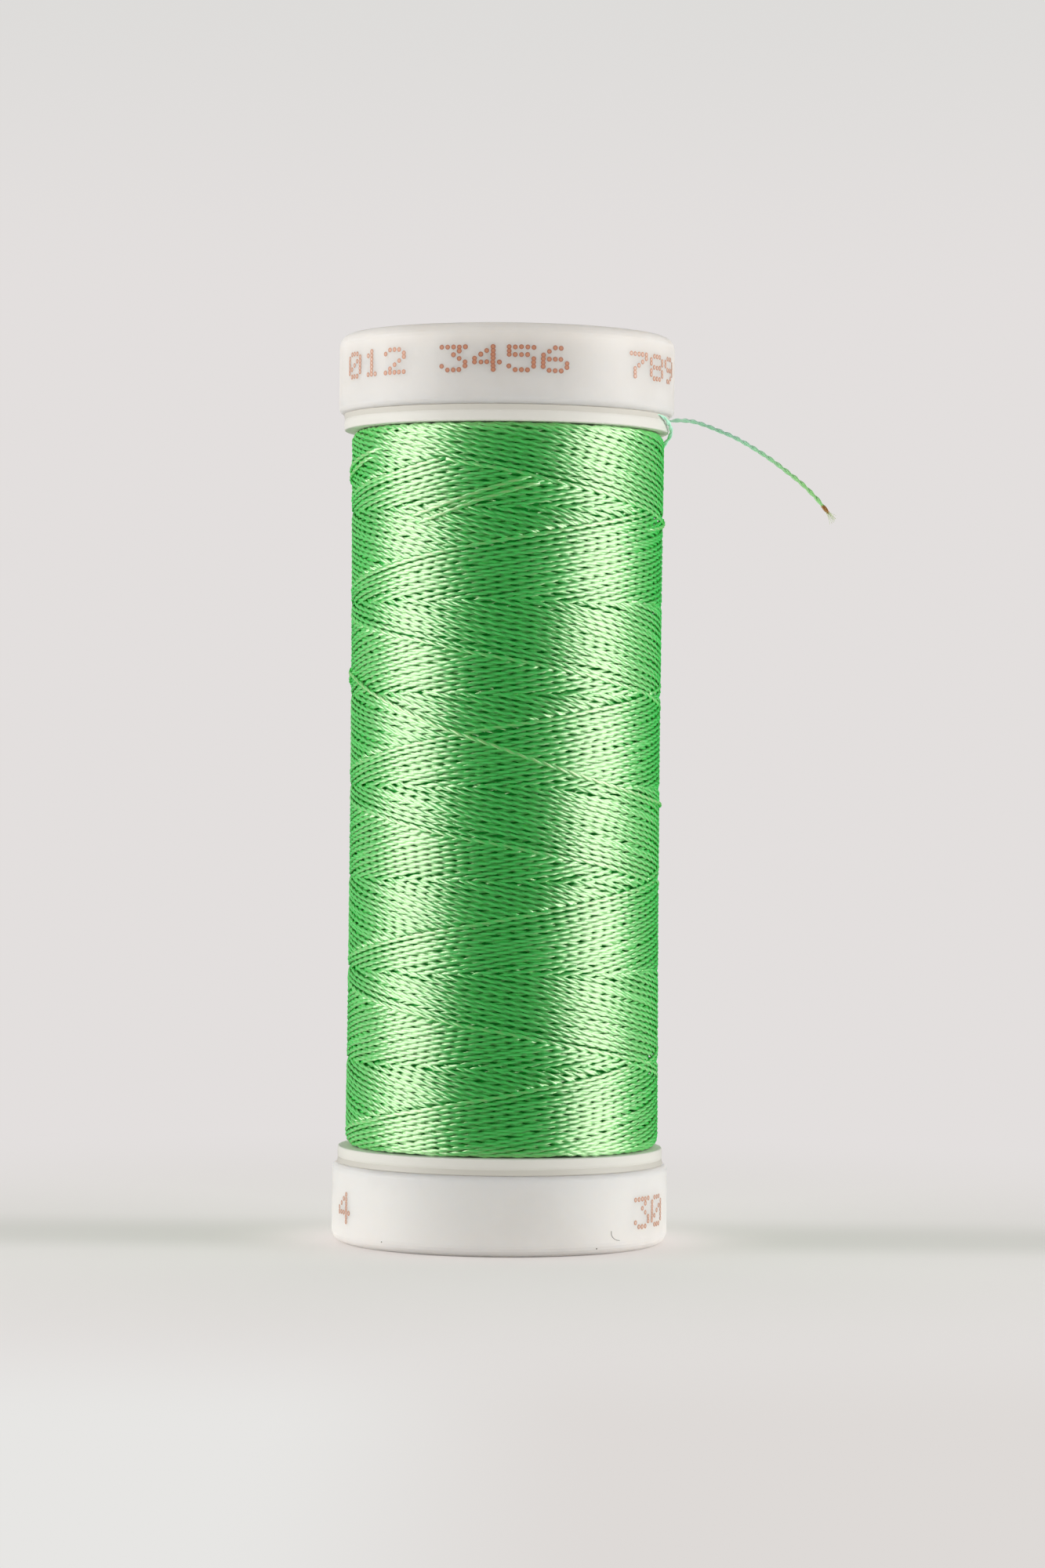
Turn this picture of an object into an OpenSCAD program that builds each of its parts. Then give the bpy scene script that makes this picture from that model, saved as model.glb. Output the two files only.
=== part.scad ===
// Spool of sewing thread with a snap cap at each end.
// A cap pulls out along the axis, which opens the gap that grips the thread's end.
// Millimetres, +Z up, origin on the axis in the plane that the base cap stands on.

/* [Thread package] */
// Length of the package, from lip to lip
winding_l = 47.7; // [36:0.1:80]
// How far the packed thread, under its outer turns, lies inside the lips' edge
core_inset = 0.65; // [0.5:0.05:1.5]
// How much less the packed thread's diameter is halfway up
core_waist = 0.2; // [0:0.05:0.6]
// Radius of the package's rounded ends
shoulder_r = 0.8; // [0.4:0.1:1.4]
// Diameter of the thread
thread_d = 0.32; // [0.26:0.02:0.4]
// Turns of thread laid round the outside of the package
turns = 24; // [8:1:24]

/* [Barrel] */
// Outer diameter of the tube that the thread is wound on
tube_d = 15.2; // [14.8:0.1:16]
// Wall of the tube
tube_wall = 1.35; // [1.1:0.05:1.6]
// How far the two lips that hold the package lie inside the caps' edge
lip_inset = 0.35; // [0.1:0.05:0.8]
// Thickness of a lip
lip_t = 1; // [0.7:0.05:1.5]
// Rounding of a lip's outer edge and of the cap's edge beside it
edge_r = 0.45; // [0.4:0.05:0.5]

/* [Caps] */
// Diameter of a cap, the widest part of the spool
cap_d = 22.4; // [21.6:0.1:26]
// Height of a cap, from the plane it stands on to its open rim
cap_h = 5.3; // [4.5:0.05:8]
// Wall of the cap's skirt
skirt_wall = 1.1; // [0.8:0.1:1.5]
// Thickness of the cap's end
end_wall = 1.3; // [1:0.1:1.8]
// Rounding of the cap's outer corner
corner_r = 0.8; // [0.2:0.05:1.2]
// Width of the flat rim that the cap stands on
foot_w = 1.2; // [0.8:0.1:2.5]
// Depth of the recess inside that rim
recess_depth = 0.3; // [0.1:0.05:0.5]
// Gap between a closed cap and its lip, which grips the thread
lock_gap = 0.06; // [0.06:0.02:0.4]
// Ribs inside the skirt
rib_count = 8; // [4:1:12]
// Thickness of a rib
rib_t = 0.8; // [0.6:0.1:1.2]
// Room for thread between the ribs and the open rim
rib_drop = 1.4; // [0.8:0.1:2]

/* [Snap fit] */
// Hole through each cap for a spool pin
pin_bore_d = 9.6; // [8:0.1:10]
// Bevel at the mouth of that hole
pin_bevel = 0.5; // [0.2:0.1:0.8]
// Length of a cap's stem inside the tube
stem_l = 8; // [7.5:0.1:12]
// Running clearance round the stem
stem_play = 0.1; // [0.05:0.01:0.15]
// Snap fingers that the stem is split into
finger_count = 4; // [3:1:5]
// Width of the slots between fingers
slot_w = 1.2; // [0.8:0.1:1.6]
// Solid length of stem left below the slots
slot_root = 1.2; // [0.8:0.1:2]
// How far a barb stands out from its finger
barb_out = 0.6; // [0.4:0.05:0.9]
// Height of a barb, with its lead-in slope
barb_h = 1.6; // [1.2:0.1:2]
// Width of a barb
barb_w = 3.2; // [2:0.1:4]
// Travel of a cap from closed to open
travel = 2.5; // [1.5:0.1:3]
// Play round a barb in its window
window_play = 0.15; // [0.1:0.05:0.3]

/* [Hidden] */

plastic = [0.93, 0.92, 0.9];
thread_green = [0.24, 0.68, 0.3];

round_fn = 96;          // facets of a preview circle
arc_steps = 6;          // steps in a rounded corner
stop_play = 0.05;       // what is left at the stop when a cap is open
barb_flat = 0.5;        // flat height of a barb's tip
tip_bevel = 0.4;        // bevel at a finger's end
barb_clear = 0.1;       // plain stem between a barb and that bevel
lip_foot_r = 0.1;       // rounding of a lip's edge on the thread's side
bite = 0.3;             // how deep ribs and barbs root in what carries them
beyond = 1;             // how far a cutter runs past what it cuts

cap_r = cap_d / 2;
lip_r = cap_r - lip_inset;
core_r = lip_r - core_inset;
tube_r = tube_d / 2;
tube_bore_r = tube_r - tube_wall;
stem_r = tube_bore_r - stem_play;
pin_r = pin_bore_d / 2;
skirt_bore_r = cap_r - skirt_wall;
seat_z = cap_h + lock_gap;              // the barrel's end rests on the cap's seat here
stem_top_z = seat_z + stem_l;
barb_z = stem_top_z - tip_bevel - barb_clear - barb_h;

barrel_l = winding_l + 2 * lip_t;
package_z = seat_z + lip_t;             // lower end of the thread package
package_top_z = package_z + winding_l;
lock_z = package_top_z + lip_t;         // the upper lip's outer face
total_h = lock_z + seat_z;

// The outer turns: one helix that rises clockwise, seen from above.
thread_r = thread_d / 2;
ring_sides = 6;
rings_per_turn = 24;
thread_play = 0.02;                     // between the turns and the packed thread
start_bend_r = 0.4;                     // bend where the thread rises off the lower lip
bend_steps = 4;
turn_step = 360 / rings_per_turn;
winding_end_angle = 4;                  // where the last turn leaves for the lip
winding_end_drop = 0.5;                 // how far below the upper lip
helix_start_z = package_z + thread_d + start_bend_r;
helix_end_z = package_top_z - winding_end_drop;
helix_rings = turns * rings_per_turn;
helix_slope = (helix_end_z - helix_start_z) / helix_rings;

// The thread's loose end, as [radius past the lip's edge, angle, height above the lip's outer
// face, thickness as a share of the thread's own]. It climbs over the lip, is pinched under
// the cap, goes once round inside it and comes out beside the place where it went in.
tail_sides = 8;
lead_in = [
    [-0.2, -1, -lip_t - 0.3, 1],
    [0.06, -4, -lip_t - 0.18, 1],
    [0.2, -7.5, -0.88, 1],
    [0.22, -11, -0.66, 1],
    [0.21, -14.5, -0.42, 1],
    [0.17, -17.5, -0.22, 0.8],
    [0.1, -20, -0.1, 0.6],
    [0, -22, -0.02, 0.4],
    [-0.15, -24.3, 0.017, 0.2],
    [-0.3, -26.5, 0.03, 0.15],
    [-0.6, -30, 0.03, 0.15],
    [-0.92, -33.5, 0.03, 0.15],
    [-1.25, -37, 0.09, 0.4],
    [-1.75, -40.5, 0.16, 0.9],
    [-2.2, -44.5, 0.18, 1],
];
wrap_inset = 2.45;                      // how far inside the lip's edge it goes round
wrap_z = 0.18;
wrap_start = -50;
wrap_step = 6.5;
wrap_rings = 44;
lead_out = [
    [-2.1, 24, 0.18, 1],
    [-1.6, 19.5, 0.15, 0.8],
    [-1.25, 16.4, 0.09, 0.4],
    [-0.92, 13.5, 0.03, 0.15],
    [-0.6, 11, 0.03, 0.15],
    [-0.3, 8.8, 0.03, 0.15],
    [-0.1, 7.3, 0.005, 0.22],
    [0.1, 6, -0.03, 0.45],
    [0.4, 4.6, -0.05, 0.8],
    [0.75, 3.2, -0.06, 1],
];
// The free end, as [x past the lip's edge, y, height above the lip's outer face].
free_end = [
    [1.45, -0.35, -0.08],
    [2.05, -1.05, -0.33],
    [2.65, -1.75, -0.6],
    [3.25, -2.4, -0.9],
    [3.85, -3.1, -1.2],
    [4.4, -3.75, -1.52],
    [4.95, -4.4, -1.88],
    [5.5, -5.05, -2.27],
    [6.05, -5.7, -2.68],
    [6.6, -6.35, -3.12],
    [7.1, -6.95, -3.55],
    [7.6, -7.55, -4],
    [8.1, -8.15, -4.45],
    [8.55, -8.7, -4.9],
    [9, -9.2, -5.4],
    [9.45, -9.75, -5.95],
    [9.85, -10.25, -6.5],
    [10.2, -10.7, -7],
];

// Points of a quarter round, from angle a0 to a1 about (cx, cy)
function arc(cx, cy, r, a0, a1) =
    [for (i = [0:arc_steps]) let (a = a0 + (a1 - a0) * i / arc_steps)
        [cx + r * cos(a), cy + r * sin(a)]];

function unit(v) = v / norm(v);

// A point from radius, angle about the axis and height
function polar(r, angle, z) = [r * cos(angle), r * sin(angle), z];

// Direction of travel at point i of a path
function heading(path, i) =
    unit(path[min(i + 1, len(path) - 1)] - path[max(i - 1, 0)]);

// A side direction for each point, carried along the path without turning about it
function sides_along(path) =
    let (first = cross(heading(path, 0), [0.31, 0.23, 0.92]))
    [for (i = 0, s = unit(first);
          i < len(path);
          i = i + 1,
          s = i < len(path) ? unit(s - (s * heading(path, i)) * heading(path, i)) : s) s];

// The rings of a tube of radius r along a path; flat gives each ring's height as a share
function tube_rings(path, r, sides, flat) =
    let (side = sides_along(path))
    [for (i = [0:len(path) - 1])
        let (t = heading(path, i), u = side[i], v = cross(t, u), share = flat[i])
        for (k = [0:sides - 1])
            let (off = r * (cos(360 * k / sides) * u + sin(360 * k / sides) * v))
            path[i] + [off.x, off.y, off.z * share]];

// Triangles of a closed tube of n rings
function tube_faces(n, sides) = concat(
    [for (k = [1:sides - 2]) [0, k + 1, k]],
    [for (i = [0:n - 2], k = [0:sides - 1])
        let (a = i * sides + k, b = i * sides + (k + 1) % sides)
        each [[a, b, b + sides], [a, b + sides, a + sides]]],
    [for (k = [1:sides - 2]) let (a = (n - 1) * sides) [a, a + k, a + k + 1]]);

module strand(path, r, sides, flat) {
    polyhedron(points = tube_rings(path, r, sides, flat),
        faces = [for (f = tube_faces(len(path), sides)) [f[0], f[2], f[1]]],
        convexity = 10);
}

// Radius of the packed thread at height z: drawn in at the waist, rounded at both ends
function core_radius(z) =
    let (along = z - package_z,
         to_end = min(along, winding_l - along),
         inside = max(0, shoulder_r - to_end))
    core_r - core_waist / 2 * sin(180 * along / winding_l)
        - (shoulder_r - sqrt(max(0, shoulder_r * shoulder_r - inside * inside)));

// The outer turns clear the packed thread at the middle of each chord
function turn_radius(z) =
    (core_radius(z) + thread_play + thread_r) / cos(turn_step / 2);

helix_path = [
    for (k = [0:helix_rings])
        let (z = helix_start_z + helix_slope * k)
        polar(turn_radius(z), winding_end_angle + turn_step * (helix_rings - k), z)];

// Off the lower lip: straight up for one thread diameter, then round a quarter bend
start_dir = unit(helix_path[1] - helix_path[0]);
start_flat = unit([start_dir.x, start_dir.y, 0]);
rise_path = [
    for (z = [package_z, package_z + thread_d])
        helix_path[0] - start_bend_r * start_flat + [0, 0, z - helix_start_z]];
bend_path = [
    for (i = [1:bend_steps - 1])
        let (a = 90 * i / bend_steps)
        helix_path[0] + start_bend_r * [0, 0, sin(a) - 1] - start_bend_r * cos(a) * start_flat];

end_dir = unit(helix_path[helix_rings] - helix_path[helix_rings - 1]);
winding_path = concat(rise_path, bend_path, helix_path,
    [helix_path[helix_rings] + thread_d * end_dir]);
winding_end = winding_path[len(winding_path) - 1];

// The loose end starts face to face with the winding's end
tail_in_flat = concat([1, 1], [for (p = lead_in) p[3]], [for (i = [0:wrap_rings - 1]) 1],
    [for (p = lead_out) p[3]], [for (p = free_end) 1]);
tail_path = concat(
    [winding_end, winding_end + thread_d * end_dir],
    [for (p = lead_in) polar(lip_r + p[0], p[1], lock_z + p[2])],
    [for (i = [0:wrap_rings - 1])
        polar(lip_r - wrap_inset, wrap_start - wrap_step * i, lock_z + wrap_z)],
    [for (p = lead_out) polar(lip_r + p[0], p[1], lock_z + p[2])],
    [for (p = free_end) [lip_r + p.x, p.y, lock_z + p.z]]);

// Least gap between turns, from each ring to the rings of the next turn
turn_gap = min([
    for (i = [0:helix_rings - rings_per_turn / 2],
         j = [i + rings_per_turn / 2 : min(i + rings_per_turn * 3 / 2, helix_rings)])
        norm(helix_path[i] - helix_path[j])]) - thread_d;
echo(least_gap_between_turns_mm = turn_gap);
echo(height_mm = total_h, tail_rings = len(tail_path));

// Half section of a cap, standing on its end with the stem up
module cap_section() {
    recess_r = cap_r - corner_r - foot_w;
    polygon(concat(
        [[pin_r + pin_bevel, recess_depth], [recess_r, recess_depth], [recess_r, 0]],
        arc(cap_r - corner_r, corner_r, corner_r, -90, 0),
        arc(cap_r - edge_r, cap_h - edge_r, edge_r, 0, 90),
        [[skirt_bore_r, cap_h], [skirt_bore_r, end_wall], [tube_r, end_wall],
         [tube_r, seat_z], [stem_r, seat_z], [stem_r, stem_top_z - tip_bevel],
         [stem_r - tip_bevel, stem_top_z], [pin_r, stem_top_z],
         [pin_r, recess_depth + pin_bevel]]));
}

// A barb catches flat on its lower side and slopes in towards the finger's end
module barb_section() {
    polygon([[stem_r - bite, barb_z], [stem_r + barb_out, barb_z],
        [stem_r + barb_out, barb_z + barb_flat], [stem_r, barb_z + barb_h],
        [stem_r - bite, barb_z + barb_h]]);
}

module each_finger() {
    for (i = [0:finger_count - 1]) rotate(360 * (i + 0.5) / finger_count) children();
}

module barbs() {
    each_finger() intersection() {
        rotate_extrude($fn = round_fn) barb_section();
        translate([0, -barb_w / 2, barb_z]) cube([tube_r, barb_w, barb_h]);
    }
}

module ribs() {
    rib_h = cap_h - rib_drop - end_wall + bite;
    for (i = [0:rib_count - 1]) rotate(360 * i / rib_count)
        translate([tube_r - bite, -rib_t / 2, end_wall - bite])
            cube([skirt_bore_r - tube_r + 2 * bite, rib_t, rib_h]);
}

module slots() {
    slot_z = seat_z + slot_root;
    for (i = [0:finger_count - 1]) rotate(360 * i / finger_count)
        translate([pin_r - beyond, -slot_w / 2, slot_z])
            cube([stem_r - pin_r + 2 * beyond, slot_w, stem_l + beyond]);
}

// One moulding serves at both ends
module snap_cap() {
    difference() {
        union() {
            rotate_extrude($fn = round_fn) cap_section();
            ribs();
            barbs();
        }
        slots();
    }
}

module base_cap() {
    color(plastic) snap_cap();
}

module top_cap() {
    color(plastic) translate([0, 0, total_h]) mirror([0, 0, 1]) snap_cap();
}

// Half section of the tube and its two lips, with bevels that lead the stems in
module barrel_section() {
    lead = tube_wall / 4;
    top = seat_z + barrel_l;
    polygon(concat(
        [[tube_bore_r, seat_z + lead], [tube_bore_r + lead, seat_z]],
        arc(lip_r - edge_r, seat_z + edge_r, edge_r, -90, 0),
        arc(lip_r - lip_foot_r, package_z - lip_foot_r, lip_foot_r, 0, 90),
        [[tube_r, package_z], [tube_r, package_top_z]],
        arc(lip_r - lip_foot_r, package_top_z + lip_foot_r, lip_foot_r, -90, 0),
        arc(lip_r - edge_r, top - edge_r, edge_r, 0, 90),
        [[tube_bore_r + lead, top], [tube_bore_r, top - lead]]));
}

// The windows that the barbs of the lower cap run in
module windows() {
    low = barb_z - travel - stop_play;
    high = barb_z + barb_h + window_play;
    each_finger() translate([pin_r, -barb_w / 2 - window_play, low])
        cube([tube_r - pin_r + beyond, barb_w + 2 * window_play, high - low]);
}

module barrel() {
    color(plastic) difference() {
        rotate_extrude($fn = round_fn) barrel_section();
        windows();
        translate([0, 0, total_h]) mirror([0, 0, 1]) windows();
    }
}

// The packed thread between the tube and the outer turns
module thread_core() {
    waist_steps = 12;
    straight_l = winding_l - 2 * shoulder_r;
    low_end = [for (i = [0:arc_steps]) package_z + shoulder_r * (1 - cos(90 * i / arc_steps))];
    middle = [for (i = [1:waist_steps]) package_z + shoulder_r + straight_l * i / waist_steps];
    high_end = [for (i = [arc_steps - 1:-1:0])
        package_top_z - shoulder_r * (1 - cos(90 * i / arc_steps))];
    heights = concat(low_end, middle, high_end);
    color(thread_green) rotate_extrude($fn = round_fn)
        polygon(concat([[tube_r, package_top_z], [tube_r, package_z]],
            [for (z = heights) [core_radius(z), z]]));
}

module thread_winding() {
    color(thread_green) strand(winding_path, thread_r, ring_sides, [for (p = winding_path) 1]);
}

module thread_tail() {
    color(thread_green) strand(tail_path, thread_r, tail_sides, tail_in_flat);
}

base_cap();
barrel();
top_cap();
thread_core();
thread_winding();
thread_tail();
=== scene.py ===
# %% [markdown]
# # A spool of sewing thread
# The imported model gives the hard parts: two snap caps and the barrel between them. This
# lesson dresses it. The caps and the barrel get a plastic finish, and the plain solids that
# stand for the thread are replaced by two-ply turns, laid the way a winding machine lays them.
# Everything is in metres, in the frame that the model was packed in.

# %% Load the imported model
import math
import bpy
import bmesh
import numpy as np
from mathutils import Matrix, Vector


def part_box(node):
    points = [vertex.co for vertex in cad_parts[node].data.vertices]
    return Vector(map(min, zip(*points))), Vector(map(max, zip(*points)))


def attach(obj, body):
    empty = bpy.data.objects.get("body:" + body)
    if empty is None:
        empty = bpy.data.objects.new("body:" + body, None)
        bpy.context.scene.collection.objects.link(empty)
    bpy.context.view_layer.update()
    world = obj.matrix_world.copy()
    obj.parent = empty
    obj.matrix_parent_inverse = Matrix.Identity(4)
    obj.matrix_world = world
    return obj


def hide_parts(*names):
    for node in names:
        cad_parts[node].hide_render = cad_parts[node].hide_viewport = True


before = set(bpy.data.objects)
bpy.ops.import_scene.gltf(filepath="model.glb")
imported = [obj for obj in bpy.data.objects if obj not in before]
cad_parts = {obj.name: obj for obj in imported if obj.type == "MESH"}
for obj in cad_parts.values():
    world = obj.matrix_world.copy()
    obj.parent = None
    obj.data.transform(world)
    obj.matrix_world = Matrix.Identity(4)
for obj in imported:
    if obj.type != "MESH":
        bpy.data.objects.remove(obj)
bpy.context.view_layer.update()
MM = 0.001
print("nodes:", sorted(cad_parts))

# %% [markdown]
# ## The camera
# A portrait lens from 30 cm, at half the spool's height, so both flat ends are seen edge-on.
# Half a degree of roll leans the spool slightly to the right. One matrix could be typed in,
# but three turns are easier to read: look level, tip down a little, then roll.

# %% Camera
LENS_MM = 102.9
EYE = Vector((1.29, -300, 31.36)) * MM
PITCH_DEG = -0.15
ROLL_DEG = 0.55


def add_object(name, data):
    """A new object of this data, linked into the scene."""
    made = bpy.data.objects.new(name, data)
    bpy.context.scene.collection.objects.link(made)
    return made


camera_data = bpy.data.cameras.new("camera")
camera_data.lens = LENS_MM
camera_data.clip_start = 0.01
camera = add_object("camera", camera_data)
camera.matrix_world = (
    Matrix.Translation(EYE)
    @ Matrix.Rotation(math.radians(90 + PITCH_DEG), 4, "X")
    @ Matrix.Rotation(math.radians(ROLL_DEG), 4, "Z")
)
bpy.context.scene.camera = camera
bpy.context.scene.view_settings.view_transform = "Standard"
print("camera at", [round(x, 4) for x in camera.location], "lens", LENS_MM, "mm")

# %% [markdown]
# ## A small language for materials
# A material is a web of nodes. Written out link by link it is hard to read, so one class
# wraps a socket and turns `a * b + 1` into Math nodes. The other class is a material under
# construction, with one method that adds any node from its type, its settings and what goes
# into its sockets.

# %% Wire: a socket that does sums
class Wire:
    def __init__(self, finish, socket):
        self.finish, self.socket = finish, socket

    def sum(self, operation, a, b):
        return self.finish.node("ShaderNodeMath", {"operation": operation}, [a, b])

    def __add__(self, other):
        return self.sum("ADD", self, other)

    def __radd__(self, other):
        return self.sum("ADD", other, self)

    def __sub__(self, other):
        return self.sum("SUBTRACT", self, other)

    def __rsub__(self, other):
        return self.sum("SUBTRACT", other, self)

    def __mul__(self, other):
        return self.sum("MULTIPLY", self, other)

    def __rmul__(self, other):
        return self.sum("MULTIPLY", other, self)

    def __truediv__(self, other):
        return self.sum("DIVIDE", self, other)


print("wires ready")


# %% Finish: a material or world under construction
class Finish:
    def __init__(self, owner):
        owner.use_nodes = True
        self.owner = owner
        self.tree = owner.node_tree
        self.tree.nodes.clear()

    def node(self, kind, settings=None, sockets=None, out=0):
        """Adds a node; sockets is a list in order, or a dictionary by name or number."""
        made = self.tree.nodes.new(kind)
        for name, value in (settings or {}).items():
            setattr(made, name, value)
        items = enumerate(sockets) if isinstance(sockets, list) else (sockets or {}).items()
        for key, value in items:
            socket = made.inputs[key]
            if isinstance(value, Wire):
                self.tree.links.new(value.socket, socket)
            elif socket.type == "RGBA" and len(value) == 3:
                socket.default_value = (*value, 1)
            else:
                socket.default_value = value
        return Wire(self, made.outputs[out])

    def axes(self, vector):
        """The x, y and z parts of a vector."""
        parts = self.node("ShaderNodeSeparateXYZ", None, [vector]).socket.node.outputs
        return [Wire(self, socket) for socket in parts]

    def mix(self, share, low, high):
        """A colour between low and high."""
        sockets = {0: share, 6: low, 7: high}
        return self.node("ShaderNodeMix", {"data_type": "RGBA"}, sockets, out=2)

    def ramp(self, value, low, high):
        """0 where value is at or below low, 1 at or above high, smooth between."""
        smoothly = {"interpolation_type": "SMOOTHSTEP"}
        return self.node("ShaderNodeMapRange", smoothly, {0: value, 1: low, 2: high})

    def noise(self, vector, scale, detail):
        """A cloudy pattern, about 0.5 on average."""
        sockets = {"Vector": vector, "Scale": scale, "Detail": detail}
        return self.node("ShaderNodeTexNoise", None, sockets)

    def principled(self, sockets):
        """The all-round surface."""
        return self.node("ShaderNodeBsdfPrincipled", None, sockets)

    def surface(self, shader, kind="ShaderNodeOutputMaterial"):
        end = self.tree.nodes.new(kind)
        self.tree.links.new(shader.socket, end.inputs["Surface"])
        return self.owner


def new_material(name):
    return Finish(bpy.data.materials.new(name))


def plain_finish(name, colour, roughness):
    """A material of one even colour."""
    finish = new_material(name)
    return finish.surface(finish.principled({"Base Color": colour, "Roughness": roughness}))


print("material helpers ready")

# %% [markdown]
# ## The studio
# The spool stands on a pale table before a pale wall. A wall that is built needs light of its
# own, which would fall on the spool too. The camera sees one flat colour, painted a little
# darker towards the top, so that is written straight into the world for camera rays. Every
# other ray sees a plain studio: bright behind the spool and dim on the camera's side, as where
# only the sides and the wall are lit.
# The dim front leaves a darker band down the middle of every shiny round thing.
#
# A ray's direction is an arrow of length 1. Each pair below says between which x, y or z of
# that arrow something fades in.

# %% World
WALL = (0.767, 0.738, 0.730)
WALL_ABOVE = (0.722, 0.713, 0.698)
STUDIO_TINT = (1, 0.99, 0.97)
FRONT_LIGHT = 0.46
BACK_LIGHT = 0.72
TOP_LIGHT = 0.15
SKY_LIGHT = 0.45
GLOSS_SHARE = 0.06
BACK_GLOSS_SHARE = 0.10
LEFT_GLOSS_SHARE = 0.30
BEHIND = (-0.5, 0.6)
OVERHEAD = (0.25, 0.75)
SKY_BEGINS, SKY_ENDS, SKY_BEHIND = (0.15, 0.40), (0.65, 0.90), (0.40, 0.75)
LEFT_BEHIND, LEFT_SIDE = (0.55, 0.80), (-0.30, -0.05)
WALL_TOP = (0.10, 0.19)

studio = Finish(bpy.data.worlds.new("studio"))
bpy.context.scene.world = studio.owner
to_right, to_back, up = studio.axes(studio.node("ShaderNodeTexCoord", out=0))
behind = studio.ramp(to_back, *BEHIND)
overhead = studio.ramp(up, *OVERHEAD)
strength = FRONT_LIGHT + behind * (BACK_LIGHT - FRONT_LIGHT)
strength = strength + overhead * (1 - behind) * (TOP_LIGHT - FRONT_LIGHT)
sky = studio.ramp(up, *SKY_BEGINS) * (1 - studio.ramp(up, *SKY_ENDS))
strength = strength + sky * studio.ramp(to_back, *SKY_BEHIND) * SKY_LIGHT
far_left = studio.ramp(to_back, *LEFT_BEHIND) * (1 - studio.ramp(to_right, *LEFT_SIDE))
gloss_share = GLOSS_SHARE + behind * (BACK_GLOSS_SHARE - GLOSS_SHARE)
gloss_share = gloss_share + far_left * LEFT_GLOSS_SHARE
mirrored = studio.node("ShaderNodeLightPath", out=3)
strength = strength * (1 - mirrored * (1 - gloss_share))
seen = studio.node("ShaderNodeLightPath", out=0)
# The wall is painted a little darker towards the top.
wall = studio.mix(studio.ramp(up, *WALL_TOP), WALL, WALL_ABOVE)
glow = {"Color": studio.mix(seen, STUDIO_TINT, wall), "Strength": strength * (1 - seen) + seen}
studio.surface(studio.node("ShaderNodeBackground", None, glow), "ShaderNodeOutputWorld")
print("wall", WALL, "front", FRONT_LIGHT, "back", BACK_LIGHT)

# %% [markdown]
# ## Two softboxes
# A softbox is a lamp behind a large white cloth. A glowing plane would look the same, but an
# area lamp gives less noise. One stands at each side of the spool, a little towards the
# camera. A turn of thread mirrors a lamp where it faces halfway between the lamp and the
# camera, so lamps at 74 degrees from the camera put a bright stripe 37 degrees to each side
# of the middle.

# %% Softboxes
LAMP_DISTANCE = 0.42
LAMP_SIZE = (0.38, 0.22)
LAMP_AZIMUTH_DEG = 74
LAMP_RADIANCE = 5.0


def on_circle(radius, angle, z):
    """A point round the spool's axis; angle 0 faces the viewer."""
    return radius * math.sin(angle), -radius * math.cos(angle), z


for side, sign in (("left", -1), ("right", 1)):
    data = bpy.data.lights.new("softbox_" + side, "AREA")
    data.shape = "RECTANGLE"
    data.size, data.size_y = LAMP_SIZE
    data.energy = LAMP_RADIANCE * math.pi * LAMP_SIZE[0] * LAMP_SIZE[1]
    lamp = add_object(data.name, data)
    turn = math.radians(sign * LAMP_AZIMUTH_DEG)
    lamp.matrix_world = (
        Matrix.Translation(on_circle(LAMP_DISTANCE, turn, LAMP_SIZE[1] / 2))
        @ Matrix.Rotation(turn, 4, "Z")
        @ Matrix.Rotation(math.radians(90), 4, "X")
    )
    print(lamp.name, [round(x, 3) for x in lamp.location])

# %% [markdown]
# ## The table
# One round sheet. Near the spool it is lit for real, with a share of a flat colour mixed in
# for the camera, so that it holds the contact shadow. Further out it turns into the wall's own
# colour for the camera, so that no horizon shows. A soft grey band of painted shade crosses it
# at the spool's depth, where the table's far edge is out of focus. This camera has no blur, so
# the band is painted. For the camera the floor in front is painted lighter at the left and
# darker at the right, which is painted light. To mirror rays the table in front of the spool
# is painted nearly black, a painted dark reflection. Pairs are distances in metres between
# which something fades in.

# %% Table
TABLE_RADIUS = 0.6
TABLE_COLOUR = (0.93, 0.905, 0.885)
BAND_COLOUR = (0.80, 0.785, 0.755)
FLAT_BAND_COLOUR = (0.70, 0.685, 0.66)
FLOOR_LEFT = (0.799, 0.791, 0.775)
FLOOR_RIGHT = (0.73, 0.70, 0.68)
BAND_BEGINS, BAND_ENDS = (-0.010, 0.001), (0.003, 0.018)
BAND_NEAR, BAND_FAR = (0.010, 0.020), (0.045, 0.085)
CLOSE_UP, CLOSE_UP_ENDS = (-0.085, -0.040), (0.14, 0.24)
LEFT_TO_RIGHT = (-0.012, 0.006)
FLAT_BEGINS = (0.035, 0.09)
FLAT_LEAST = 0.35
BESIDE = (0.45, 0.90)


def mesh_object(name, shape, material):
    """Makes a finished bmesh an object, and frees the bmesh."""
    mesh = bpy.data.meshes.new(name)
    shape.to_mesh(mesh)
    shape.free()
    mesh.materials.append(material)
    return add_object(name, mesh)


top = new_material("table_top")
place = top.node("ShaderNodeTexCoord", out=3)
across, depth, _ = top.axes(place)
from_spool = top.node("ShaderNodeVectorMath", {"operation": "LENGTH"}, [place], out=1)
# Painted shade: a soft grey band across the table at the spool's depth.
band = (1 - top.ramp(depth, *BAND_ENDS)) * top.ramp(depth, *BAND_BEGINS)
shade = band * (top.ramp(from_spool, *BAND_NEAR) * (1 - top.ramp(from_spool, *BAND_FAR)))
aside = top.node("ShaderNodeMath", {"operation": "ABSOLUTE"}, [across])
in_front = 1 - top.ramp(aside / from_spool, *BESIDE)
mirrored = top.node("ShaderNodeLightPath", out=3)
# To mirror rays the table in front of the spool is painted nearly black: a painted dark
# reflection.
dimmed = mirrored * in_front * (1 - GLOSS_SHARE)
lit_colour = top.mix(dimmed, top.mix(shade, TABLE_COLOUR, BAND_COLOUR), (0, 0, 0))
lit = top.node("ShaderNodeBsdfDiffuse", None, {"Color": lit_colour})

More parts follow.
